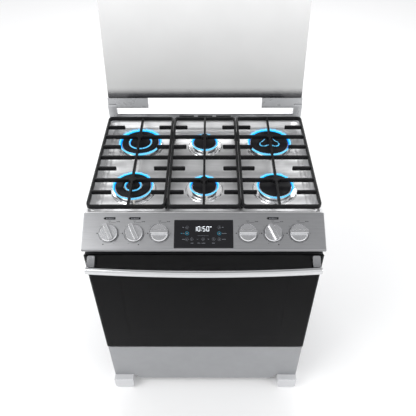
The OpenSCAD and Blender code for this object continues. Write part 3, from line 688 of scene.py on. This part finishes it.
def cap_profile(radius, inner=None):
    """Enamelled cap: crisp lower edge, rounded shoulder and a slightly dished top."""
    top = 7 * MM
    shoulder = [(radius - 0.6 * MM, 0.0), (radius, 0.6 * MM), (radius, 2.6 * MM)]
    shoulder += arc_points((radius - 3.4 * MM, 3.2 * MM), 3.4 * MM, 0, 80, 6)
    shoulder += [(radius - 6 * MM, top - 0.15 * MM), (radius - 9 * MM, top)]
    if inner is None:
        return [(0, 0)] + shoulder + [(radius * 0.45, top - 0.5 * MM), (0, top - 0.7 * MM)]
    inside = [(inner + 7 * MM, top), (inner + 4 * MM, top - 0.2 * MM)]
    inside += arc_points((inner + 3 * MM, 3.4 * MM), 3 * MM, 100, 180, 5)
    return shoulder + inside + [(inner, 0.5 * MM), (inner + 0.5 * MM, 0.0)]


def burner_caps():
    for name, (centre, radius) in BURNERS.items():
        node = "burner_cap_" + name
        if name == "rear_right":
            refine(node, 0.9 * MM, 3)
            continue
        bm = edged_mesh()
        seat = Vector((centre.x, centre.y, CAP_SEAT))
        if name in RINGS:
            hole, middle = RINGS[name]
            lathe(bm, cap_profile(radius, hole), seat, 128)
            lathe(bm, cap_profile(middle), seat, 96, False)
        else:
            lathe(bm, cap_profile(radius), seat, 128, False)
        finish_mesh(node + "_finished", bm, LOOKS["cap_enamel"], "root", [node], 50)


def jet(bm, layer, base, out, length, width, lean, rng):
    """One flame: a closed teardrop that starts outwards from its port and bends up."""
    up = Vector((0, 0, 1))
    side = out.cross(up)
    length *= rng.uniform(0.85, 1.12)
    rings, steps, round_steps = [], 7, 8
    for i in range(steps + 1):
        t = i / steps
        bend = math.radians(lean) * t
        along = out * (length * (t - 0.35 * t * t) * math.cos(bend * 0.6))
        middle = base + along + up * (length * t * math.sin(math.radians(18) + bend))
        swell = width * (0.35 + 1.9 * t) * (1 - t) ** 0.75 + 0.05 * MM
        across = (up * math.cos(bend) - out * math.sin(bend)).normalized()
        ring = []
        for k in range(round_steps):
            a = 2 * math.pi * k / round_steps
            vert = bm.verts.new(middle + (side * math.cos(a) + across * math.sin(a)) * swell)
            vert[layer] = t
            ring.append(vert)
        rings.append(ring)
    skin(bm, rings)


def flame_ring(bm, layer, centre, radius, height, length, width, lean, rng, shape=None):
    """Outward jets all round a circle, or round the outline that shape(angle) gives."""
    count = round(2 * math.pi * radius / (4.2 * MM))
    for k in range(count):
        angle = 2 * math.pi * (k + rng.uniform(-0.12, 0.12)) / count
        out = Vector((math.cos(angle), math.sin(angle), 0))
        r = shape(angle) if shape else radius
        base = Vector((centre.x, centre.y, height)) + out * r
        jet(bm, layer, base, out, length, width, lean, rng)


def three_lobes(angle):
    """Radius of the three-lobed centre burner at an angle."""
    lobe = 0.5 + 0.5 * math.cos(3 * (angle - math.radians(90)))
    return 17 * MM + 19 * MM * lobe ** 1.3


def flames():
    port = FLOOR + 13.2 * MM
    for index, (name, (centre, radius)) in enumerate(BURNERS.items()):
        rng = random.Random(40 + index)
        bm = bmesh.new()
        layer = bm.verts.layers.float.new("along")
        tall = {"rear_left": 18.0, "rear_right": 16.5}.get(name, 13.5) * MM
        flame_ring(bm, layer, centre, radius + 1.4 * MM, port, tall, 3.4 * MM, 44, rng)
        if name in RINGS:
            middle = RINGS[name][1]
            shape = three_lobes if name == "rear_right" else None
            flame_ring(bm, layer, centre, middle + 1.2 * MM, port + 3 * MM, 8.5 * MM, 2.5 * MM, 62,
                       rng, shape)
        piece = finish_mesh("flame_" + name, bm, FLAME, "root", (), 80)
        piece.visible_glossy = False
        piece.visible_diffuse = False


# ---- Grates ----

BAR = 8 * MM


def casting_section(half, deep, top_r, low_r):
    """(across, up) points round the section of a cast bar, its top at zero height."""
    section = arc_points((half - top_r, -top_r), top_r, 0, 90, 4)
    section += arc_points((-half + top_r, -top_r), top_r, 90, 180, 4)
    section += arc_points((-half + low_r, -deep + low_r), low_r, 180, 270, 2)
    return section + arc_points((half - low_r, -deep + low_r), low_r, 270, 360, 2)


def cast_frame(bm, layer, low, high, corner, top, deep):
    """The outer frame of a grate: a bar swept round a rectangle with round corners."""
    middle, wide = (low + high) / 2, high - low
    path = []
    for sx, sy, start in ((1, 1, 0), (-1, 1, 90), (-1, -1, 180), (1, -1, 270)):
        centre = middle.x + sx * (wide.x / 2 - corner), middle.y + sy * (wide.y / 2 - corner)
        for i in range(7):
            angle = math.radians(start + 15 * i)
            path.append((Vector((*centre, top)), Vector((math.cos(angle), math.sin(angle), 0))))
    reach = corner - BAR / 2
    section = casting_section(BAR / 2, deep, 2.4 * MM, 1.0 * MM)
    rings = [[bm.verts.new(at + out * (reach + a) + Vector((0, 0, b))) for a, b in section]
             for at, out in path]
    top_faces = 10
    for row in skin(bm, rings + rings[:1], ends=False):
        for face in row[:top_faces]:
            face[layer] = 1.0


def cast_bar(bm, layer, start, end, half, top, deep):
    """A straight bar with round ends, its top edges well rounded and its lower ones a little."""
    along = (end - start).normalized()
    lean = math.degrees(math.atan2(along.y, along.x))
    rise = [(0.0, 1.6), (0.45, 0.6), (1.2, 0.15), (2.2, 0.0)]
    levels = [(top - down * MM, inset * MM) for down, inset in rise]
    levels += [(top - deep + 0.9 * MM, 0.0), (top - deep, 0.9 * MM)]
    rings = []
    for z, inset in levels:
        outline = arc_points((end.x, end.y), half - inset, lean - 90, lean + 90, 8)
        outline += arc_points((start.x, start.y), half - inset, lean + 90, lean + 270, 8)
        rings.append([bm.verts.new((x, y, z)) for x, y in outline])
    bm.faces.new(rings[0])
    bm.faces.new(rings[-1][::-1])
    rounded = len(rise) - 1
    for i, (a, b) in enumerate(zip(rings, rings[1:])):
        for k in range(len(a)):
            n = (k + 1) % len(a)
            face = bm.faces.new((a[k], b[k], b[n], a[n]))
            face[layer] = 1.0 if i < rounded else 0.0


def grates():
    """Three castings. Bars that cross differ a little in height, as cast ones do."""
    half = BAR / 2
    # Places in millimetres: across from the centre line, and back from the front of the body
    front = BURNERS["front_left"][0].y - 146 * MM
    plan = {"left": (-242.5, -305, -175), "centre": (0, -66, 66), "right": (242.5, 175, 305)}
    burner_rows, between = (147, 397), 272
    fingers = (85.6, 210, 335, 460)
    feet = (60, 440)
    for side, (spine, left_tip, right_tip) in plan.items():
        node = "grate_" + side
        low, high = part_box(node)
        top, deep = high.z, 15 * MM
        bm = bmesh.new()
        layer = bm.faces.layers.float.new("edge")

        def bar(start, end, drop, wide=half):
            ends = [Vector((x, y, 0)) for x, y in (start, end)]
            cast_bar(bm, layer, *ends, wide, top - drop * MM, deep - drop * MM)

        cast_frame(bm, layer, low, high, 16 * MM, top, deep)
        left, right = low.x + half, high.x - half
        for y in (burner_rows[0], between, burner_rows[1]):
            at = front + y * MM
            bar((left, at), (right, at), 0.25)
        for y in fingers:
            at = front + y * MM
            bar((left, at), (left_tip * MM - half, at), 0.4)
            bar((right_tip * MM + half, at), (right, at), 0.4)
        x = spine * MM
        bar((x, low.y + half), (x, high.y - half), 0.55)
        # Round boss over each burner, a bar with almost no length
        for y in burner_rows:
            at = front + y * MM
            bar((x - 0.05 * MM, at), (x + 0.05 * MM, at), 0.12, 12.5 * MM)
        for x, inward in ((low.x, 1), (high.x, -1)):
            on_rim = abs(x) > 200 * MM
            foot = (RIM if on_rim else FLOOR) + 0.3 * MM
            wide = (4.4 if on_rim else 7.4) * MM
            for y in feet:
                pad = round_box(x + inward * (wide / 2 + 0.05 * MM), front + y * MM, wide,
                                18 * MM, 1.6 * MM)
                slab(bm, pad, foot, top - deep + 2 * MM, Matrix.Identity(4))
        finish_mesh(node + "_casting", bm, LOOKS["grate_iron"], node, [node], 50)


# ---- Control panel ----

def on_panel(joint):
    """A frame on the control panel's face at a knob: x across, y up the slope, z outwards."""
    normal = Vector(joint["axis"]).normalized()
    across = Vector((1, 0, 0))
    up = normal.cross(across)
    turn = Matrix((across, up, normal)).transposed().to_4x4()
    return Matrix.Translation(Vector(joint["pos_m"])) @ turn


KNOBS = [on_panel(joint_of[f"knob_{i}_turn"]) for i in range(1, 7)]
# The panel's own frame: its origin is level with the knobs, in the middle of the panel
FACE = KNOBS[0].copy()
FACE.translation.x = 0.0


def control_panel():
    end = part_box("control_panel")[1].x - 0.1 * MM

    def at_end(e):
        return all(abs(v.co.x) > end for v in e.verts)

    refine("control_panel", 0.35 * MM, 2, [(at_end, 2.4 * MM, 4)], SHADED_PANEL_STEEL)
    refine("control_glass", 0.3 * MM, 2)
    refine("control_board", 0.2 * MM, 1)


def knobs():
    for number, place in enumerate(KNOBS, 1):
        node = f"knob_{number}"
        refine(node, 1.0 * MM, 3)
        refine(f"spindle_{number}", 0.25 * MM, 1)
        start = math.radians(joint_of[node + "_turn"]["range_deg"][0])
        turned = place @ Matrix.Rotation(-start, 4, "Z")
        bm = edged_mesh()
        line = round_box(0, 15.5 * MM, 1.3 * MM, 15 * MM, 0.6 * MM)
        slab(bm, line, 24.6 * MM, 25.0 * MM, turned)
        finish_mesh(node + "_pointer", bm, GREY_INK, node)


def panel_prints():
    """Flow arcs, marks and dots round the knobs, a black ring of painted shadow at the foot of each
    knob, and dashes where a real panel has words.
    """
    dark, grey, pale = [bmesh.new() for _ in range(3)]
    low, high = 0.05 * MM, 0.25 * MM
    pills = (0, 1, 4)
    below = ((15.5, -37, 1.9), (-16.5, -33.6, 0.9))
    extra = {0: ((-16, -36, 1.9), (17, -33.6, 0.9)), 1: below, 4: below}

    def mark(bm, outline):
        slab(bm, outline, low, high, FACE)

    knob_low, knob_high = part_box("knob_3")
    rim = (knob_high.x - knob_low.x) / 2
    arc_r = 31.2 * MM
    arcs = ((112, 176, 0.8), (186, 228, 1.1), (236, 300, 0.8), (306, 352, 1.4))
    pill_y = 48.5 * MM
    for index, place in enumerate(KNOBS):
        x = place.translation.x
        # Painted shadow: a black ring on the panel round the foot of each knob.
        ring_slab(dark, (x, 0), rim - 2.5 * MM, rim + 0.9 * MM, 0, 360, low, high, FACE, 64)
        dots = ((-36.5, -0.6, 1.9), (-28.8, 22.7, 0.9), (36, -0.6, 0.9)) + extra.get(index, ())
        for dx, dy, r in dots:
            mark(dark, arc_points((x + dx * MM, dy * MM), r * MM, 0, 360, 16)[:-1])
        for start, end, wide in arcs:
            ring_slab(grey, (x, 0), arc_r, arc_r + wide * MM, start, end, low, high, FACE, 24)
        mark(grey, round_box(x, 35.5 * MM, 1.0 * MM, 4.5 * MM, 0.2 * MM, 2))
        for k, wide in enumerate((2.2, 1.6, 2.4)):
            mark(grey, round_box(x + (k - 1) * 3.0 * MM, 39.8 * MM, wide * MM, 1.8 * MM,
                                 0.3 * MM, 2))
            mark(grey, round_box(x + (24 + k * 3.6) * MM, 37.6 * MM, wide * 1.1 * MM, 3.0 * MM,
                                 0.4 * MM, 2))
        mark(grey, round_box(x + 12 * MM, 34.4 * MM, 17 * MM, 0.8 * MM, 0.2 * MM, 2))
        if index in pills:
            mark(dark, round_box(x + 1 * MM, pill_y, 35 * MM, 8.2 * MM, 1.6 * MM))
            tail, tip = x - 15 * MM, x - 20 * MM
            mark(dark, [(tip, pill_y), (tail, pill_y - 3.9 * MM), (tail, pill_y + 3.9 * MM)])
            for k, wide in enumerate((2.6, 1.8, 2.9, 2.0, 2.4, 1.7)):
                at = x + (-9.5 + 4.1 * k) * MM
                dash = round_box(at, pill_y, wide * MM, 2.2 * MM, 0.3 * MM, 2)
                slab(pale, dash, high, high + 0.06 * MM, FACE)
    for name, bm, look in (("black", dark, BLACK_INK_AND_SHADE), ("grey", grey, GREY_INK),
                           ("pale", pale, PALE_INK)):
        finish_mesh("panel_marks_" + name, bm, look, "root", (), 30)


SEGMENTS = {"0": "abcdef", "1": "bc", "5": "acdfg"}


def digit(bm, x, y, wide, high, lit, low, top):
    """One seven-segment digit with its lower left corner at (x, y)."""
    bar = 1.4 * MM
    half = high / 2
    boxes = {
        "a": (wide / 2, high, wide, bar), "d": (wide / 2, 0, wide, bar),
        "g": (wide / 2, half, wide, bar),
        "f": (0, half * 1.5, bar, half), "b": (wide, half * 1.5, bar, half),
        "e": (0, half * 0.5, bar, half), "c": (wide, half * 0.5, bar, half),
    }
    for key in lit:
        cx, cy, w, h = boxes[key]
        lit_box = round_box(x + cx, y + cy, w - 0.3 * MM, h - 0.3 * MM, 0.6 * MM, 3)
        slab(bm, lit_box, low, top, FACE)


def display():
    """Clock window, lit digits and touch icons on the glass."""
    window, digits, teal, icons = [bmesh.new() for _ in range(4)]
    glass = 1.0 * MM
    low, high = glass + 0.02 * MM, glass + 0.12 * MM

    def up(s):
        """Height on the face frame of a place s millimetres down the panel's slope."""
        return (67 - s) * MM

    def box(bm, x, s, wide, tall, corner, steps):
        outline = round_box(x * MM, up(s), wide * MM, tall * MM, corner * MM, steps)
        slab(bm, outline, low, high, FACE)

    slab(window, round_box(-1 * MM, up(52.6), 68 * MM, 32 * MM, 1 * MM), glass, low, FACE)
    for x, text in ((-30.0, "1"), (-18.4, "0"), (-2.4, "5"), (9.6, "0")):
        digit(digits, x * MM, up(60.5), 6.8 * MM, 14.4 * MM, SEGMENTS[text], low, high)
    for s in (50, 57.5):
        box(digits, -7.0, s, 1.5, 1.5, 0.6, 3)
    for k in (0, 1):
        box(digits, 20.6 + 3.4 * k, 47, 2.4, 1.8, 0.4, 3)
    middle = 67.9
    for x in (-52, 48.8):
        ring_slab(teal, (x * MM, up(middle)), 4.9 * MM, 5.9 * MM, 0, 360, low, high, FACE)
        dot = arc_points((x * MM, up(middle)), 1.9 * MM, 0, 360, 14)[:-1]
        slab(icons, dot, low, high, FACE)
    box(teal, -69, middle, 4.2, 1.5, 0.5, 3)
    rings = ((-52.5, 48.4), (48.9, 48.4), (-52.7, 87.2), (49, 87.2), (-37, 86.7), (31.8, 86.7),
             (-2, 86.9))
    for x, s in rings:
        ring_slab(icons, (x * MM, up(s)), 4.5 * MM, 4.9 * MM, 0, 360, low, high, FACE)
        box(icons, x, s, 1.4, 3.2, 0.4, 2)
    for x, s, wide, tall in ((-19, 87.2, 3.6, 0.8), (15, 86.9, 3.6, 0.8), (15, 86.9, 0.8, 3.6)):
        box(icons, x, s, wide, tall, 0.2, 2)
    for x, s, count in ((-66, 48.4, 2), (-64.5, middle, 2), (-66, 87.2, 3), (58.5, 48.4, 2),
                        (58.5, middle, 5), (58.5, 87.2, 4), (-39, 99.5, 3), (-18, 99.5, 3),
                        (-5, 99.5, 4), (28, 99.5, 3)):
        for k in range(count):
            box(icons, x + 3 * k, s, 2.1, 1.5, 0.3, 2)
    box(icons, -2, 75.5, 34, 0.4, 0.15, 2)
    for name, bm, look in (
            ("clock_window", window, LOOKS["panel_glass"]),
            ("clock_digits", digits, glow("lit_digits", (0.9, 0.95, 1.0), 1.3)),
            ("touch_rings", teal, glow("teal_rings", (0.0, 0.16, 0.25), 0.6)),
            ("touch_icons", icons, glow("touch_icons", (0.16, 0.17, 0.19), 0.5))):
        finish_mesh(name, bm, look, "root", (), 30)


# ---- Door and handle ----

def door():
    refine("door_outer_glass", 0.8 * MM, 3)
    refine("door_shell", 0.3 * MM, 1)
    refine("door_inner_glass", 0.5 * MM, 2)
    refine("door_gasket", 1.6 * MM, 3)
    refine("door_hinges", 0.4 * MM, 2)
    low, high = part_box("door_outer_glass")
    window_low, window_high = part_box("door_inner_glass")
    bm = edged_mesh()
    place = Matrix.Translation((0, high.y + 0.05 * MM, 0)) @ Matrix.Rotation(math.pi / 2, 4, "X")
    inset, rim = 5.5 * MM, 3 * MM
    left, right = low.x + inset, high.x - inset
    inner_left, inner_right = window_low.x - rim, window_high.x + rim
    inner_low, inner_high = window_low.z - rim, window_high.z + rim
    strips = ((left, right, low.z + inset, inner_low), (left, right, inner_high, high.z - inset),
              (left, inner_left, inner_low, inner_high),
              (inner_right, right, inner_low, inner_high))
    for x0, x1, z0, z1 in strips:
        slab(bm, [(x0, z0), (x1, z0), (x1, z1), (x0, z1)], -0.3 * MM, 0.0, place)
    finish_mesh("door_print", bm, BLACK_INK_AND_SHADE, "oven_door", (), 30)


def handle():
    """Bowed bar of stadium section with closed, rounded ends, and its two chrome brackets."""
    low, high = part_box("door_handle_bar")
    half = high.x - 1.0 * MM
    radius, flat = 10 * MM, 3 * MM
    bow = 14 * MM
    middle_y = low.y + radius
    middle_z = (low.z + high.z) / 2
    bend = (half * half + bow * bow) / (2 * bow)
    bm = edged_mesh()
    section = arc_points((0, flat), radius, 0, 180, 12)
    section += arc_points((0, -flat), radius, 180, 360, 12)
    rings = []
    spans = [(-1.0, 0.8), (-0.9985, 0.93), (-0.996, 1.0)]
    spans += [(-0.99 + 1.98 * i / 72, 1.0) for i in range(73)]
    spans += [(0.996, 1.0), (0.9985, 0.93), (1.0, 0.8)]
    for t, size in spans:
        x = half * t
        y = middle_y + bend - math.sqrt(bend * bend - x * x)
        lean = math.asin(x / bend)
        out = Vector((math.sin(lean), -math.cos(lean), 0))
        centre = Vector((x, y, middle_z))
        rings.append([bm.verts.new(centre + out * (a * size) + Vector((0, 0, b * size)))
                      for a, b in section])
    skin(bm, rings)
    finish_mesh("handle_bar", bm, LOOKS["handle_steel"], "oven_door",
                ["door_handle_bar"], 50)

    def upright(e):
        a, b = e.verts
        return abs(a.co.z - b.co.z) > 8 * MM and (a.co.xy - b.co.xy).length < 1 * MM

    refine("door_handle_brackets", 1.6 * MM, 3, [(upright, 4.5 * MM, 5)])


# ---- Body, lid and rear ----

def body():
    for node in ("side_panel_left", "side_panel_right", "lower_front_panel", "rear_panel",
                 "base_pan", "rear_trim", "front_frame"):
        refine(node, 0.45 * MM, 2)
    for node in ("foot_front_left", "foot_front_right", "feet_rear"):
        refine(node, 2.2 * MM, 4)
    refine("lid_clamps", 0.8 * MM, 2, look=HINGE_PAINT)
    refine("lid_hinge_posts", 1.2 * MM, 3, look=HINGE_PAINT)
    refine("lid_glass", 1.4 * MM, 4)
    refine("gas_manifold", 0.6 * MM, 2)
    refine("cord_gland", 0.5 * MM, 2)


def trim_slot_shade():
    """Painted shade: a black plate behind the vent slots of the rear trim, standing for the shade
    inside them.
    """
    low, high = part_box("rear_trim")
    bm = edged_mesh()
    place = Matrix.Translation((0, low.y + 3 * MM, 0)) @ Matrix.Rotation(math.pi / 2, 4, "X")
    outline = round_box(0, (low.z + high.z) / 2, 214 * MM, 14 * MM, 1 * MM)
    slab(bm, outline, 0.0, 1.0 * MM, place)
    finish_mesh("trim_slot_shade", bm, BLACK_INK_AND_SHADE, "root", (), 30)


def louvres():
    """Pressed hoods over the slots of the rear panel."""
    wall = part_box("rear_panel")[1].y
    lowest, pitch, half = 641 * MM, 26 * MM, 72 * MM
    quarter = arc_points((0.0, 0.0), 1.0, 0, 90, 6)
    # Places along a hood, and its size there: it closes towards both ends
    spans = ((-1.0, 0.15), (-0.985, 0.75), (-0.96, 1.0), (0.96, 1.0), (0.985, 0.75), (1.0, 0.15))
    bm = edged_mesh()
    for side in (-1, 1):
        for k in range(6):
            z = lowest + pitch * k
            rings = []
            for t, size in spans:
                x = side * 150 * MM + half * t
                deep, tall = 5.5 * MM * size, 9 * MM * size
                outside = [(deep * a, tall * b) for a, b in quarter]
                inside = [(max(out - 0.8 * MM, -0.2 * MM), max(up - 0.9 * MM, -0.1 * MM))
                          for out, up in reversed(outside)]
                rings.append([bm.verts.new((x, wall + out, z + up))
                              for out, up in outside + inside])
            skin(bm, rings)
    finish_mesh("rear_louvres", bm, LOOKS["body_paint"], "root", (), 45)


def plain_nodes():
    """CAD nodes whose shape is right take their slot's material as they are."""
    for node in ("gas_valves", "burner_tubes", "igniters", "oven_liner", "oven_insulation",
                 "oven_floor_plate", "oven_burner", "oven_lamp", "rack_rails", "oven_rack_upper",
                 "oven_rack_lower", "screws"):
        for held in frame["nodes"][node].material_slots:
            held.material = LOOKS[slot_of[node]]


# ---- Camera, light and stage ----

def studio():
    camera = bpy.data.objects.new("camera", bpy.data.cameras.new("camera"))
    camera.data.sensor_width = 36.0
    camera.data.lens = 42.94
    camera.data.clip_start = 0.05
    yaw, pitch, roll = math.radians(0.39), math.radians(43.34), math.radians(0.29)
    turn = Matrix.Rotation(yaw, 4, "Z") @ Matrix.Rotation(-pitch, 4, "X")
    turn = turn @ Matrix.Rotation(roll, 4, "Y") @ Matrix.Rotation(math.pi / 2, 4, "X")
    camera.matrix_world = Matrix.Translation((0.0214, -1.38574, 2.0143)) @ turn
    scene.collection.objects.link(camera)
    scene.camera = camera

    world = bpy.data.worlds.new("studio")
    world.use_nodes = True
    tree = world.node_tree
    background = tree.nodes["Background"]
    place = tree.nodes.new("ShaderNodeTexCoord")
    split = tree.nodes.new("ShaderNodeSeparateXYZ")
    ramp = tree.nodes.new("ShaderNodeValToRGB")
    tree.links.new(place.outputs["Generated"], split.inputs[0])
    tree.links.new(split.outputs["Z"], ramp.inputs["Fac"])
    tree.links.new(ramp.outputs["Color"], background.inputs["Color"])
    tones = ramp.color_ramp.elements
    tones[0].position, tones[0].color = 0.0, (0.9, 0.905, 0.91, 1)
    tones[1].position, tones[1].color = 0.22, (1.0, 1.0, 1.0, 1)
    for where, level in ((0.8, 0.95), (0.96, 0.36)):
        tones.new(where).color = (level, level * 1.005, level * 1.02, 1)
    background.inputs["Strength"].default_value = 0.95
    scene.world = world

    def softbox(name, place, aim, wide, tall, power):
        light = bpy.data.lights.new(name, "AREA")
        light.shape = "RECTANGLE"
        light.size, light.size_y = wide, tall
        light.energy = power
        lamp = bpy.data.objects.new(name, light)
        lamp.location = place
        lamp.rotation_euler = (Vector(aim) - Vector(place)).to_track_quat("-Z", "Y").to_euler()
        scene.collection.objects.link(lamp)

    softbox("key", (-2.4, -1.6, 3.4), (0.0, 0.0, 0.7), 2.2, 2.2, 60)
    softbox("fill", (2.8, -2.2, 2.2), (0.0, 0.0, 0.6), 2.0, 2.0, 26)
    softbox("back", (0.0, 3.0, 3.2), (0.0, 0.1, 0.9), 3.2, 1.4, 50)

    bm = bmesh.new()
    bmesh.ops.create_grid(bm, x_segments=1, y_segments=1, size=60.0)
    mesh = bpy.data.meshes.new("floor")
    bm.to_mesh(mesh)
    bm.free()
    floor_look = Look("pale_floor", (0.98, 0.98, 0.98), 0.8, Specular_IOR_Level=0.1)
    floor_look.shade(floor_look.noise(1.2, detail=2.0), 0.995, 1.0)
    mesh.materials.append(floor_look.material)
    floor = bpy.data.objects.new("floor", mesh)
    floor.location.z = -0.2 * MM
    scene.collection.objects.link(floor)

    scene.view_settings.view_transform = "Standard"
    scene.view_settings.look = "None"
    scene.view_settings.exposure = 0.0


studio()
plain_nodes()
cooktop()
drip_rings()
burner_heads()
burner_caps()
flames()
grates()
control_panel()
knobs()
panel_prints()
display()
door()
handle()
body()
trim_slot_shade()
louvres()

bpy.context.view_layer.update()
